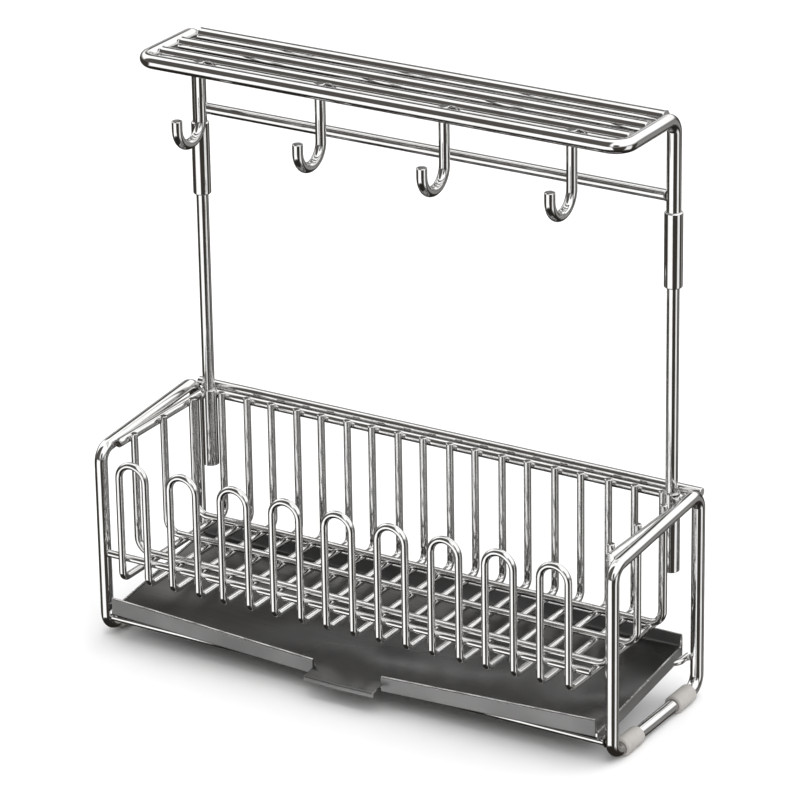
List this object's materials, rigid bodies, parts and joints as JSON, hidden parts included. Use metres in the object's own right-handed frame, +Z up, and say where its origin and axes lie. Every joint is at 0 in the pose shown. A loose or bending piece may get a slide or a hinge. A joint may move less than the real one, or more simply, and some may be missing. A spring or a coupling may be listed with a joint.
{
  "type": "sink sponge rack",
  "caption": "Free-standing wire basket for sponges and brushes, with a slide-out drip tray below it and a lift-off rod shelf with hooks above it on two posts.",
  "frame": {"origin": "under the middle of the whole rack, on the surface that the feet stand on", "axes": "+X to the right along the basket, seen from the front; the loops, the spout and the hooks face -Y; +Z up"},
  "size_m": [0.32, 0.1115, 0.3215],
  "materials": {
    "steel": "polished stainless steel",
    "brushed_sheet": "brushed stainless steel sheet",
    "silicone": "light grey silicone"
  },
  "bodies": {
    "basket": {"left_end_frame": "steel", "right_end_frame": "steel", "rear_top_rail": "steel", "basket_rim": "steel", "loop_wire_1": "steel", "loop_wire_2": "steel", "loop_wire_3": "steel", "loop_wire_4": "steel", "loop_wire_5": "steel", "loop_wire_6": "steel", "loop_wire_7": "steel", "loop_wire_8": "steel", "loop_wire_9": "steel", "front_long_wire": "steel", "middle_long_wire": "steel", "rear_long_wire": "steel", "front_tie_rod": "steel", "front_tray_rod": "steel", "rear_tray_wire": "steel", "front_left_foot": "silicone", "rear_left_foot": "silicone", "front_right_foot": "silicone", "rear_right_foot": "silicone", "left_socket": "steel", "right_socket": "steel"},
    "tray": {"drip_tray": "brushed_sheet"},
    "left_post": {"left_lower_post": "steel", "left_sleeve": "steel"},
    "right_post": {"right_lower_post": "steel", "right_sleeve": "steel"},
    "shelf": {"shelf_hoop": "steel", "second_shelf_rod": "steel", "third_shelf_rod": "steel", "rear_shelf_rod": "steel", "crossbar": "steel", "hook_1": "steel", "hook_2": "steel", "hook_3": "steel", "hook_4": "steel"}
  },
  "joints": [
    {"name": "tray_slide", "type": "slide", "parent": "basket", "child": "tray", "axis": [0, -1, 0], "range_m": [0, 0.1]},
    {"name": "left_post_lift", "type": "slide", "parent": "basket", "child": "left_post", "axis": [0, 0, 1], "range_m": [0, 0.05]},
    {"name": "right_post_lift", "type": "slide", "parent": "basket", "child": "right_post", "axis": [0, 0, 1], "range_m": [0, 0.05]},
    {"name": "shelf_lift", "type": "slide", "parent": "left_post", "child": "shelf", "axis": [0, 0, 1], "range_m": [0, 0.03]}
  ],
  "couplings": [
    {"joint": "right_post_lift", "follows": "left_post_lift", "ratio": 1}
  ]
}
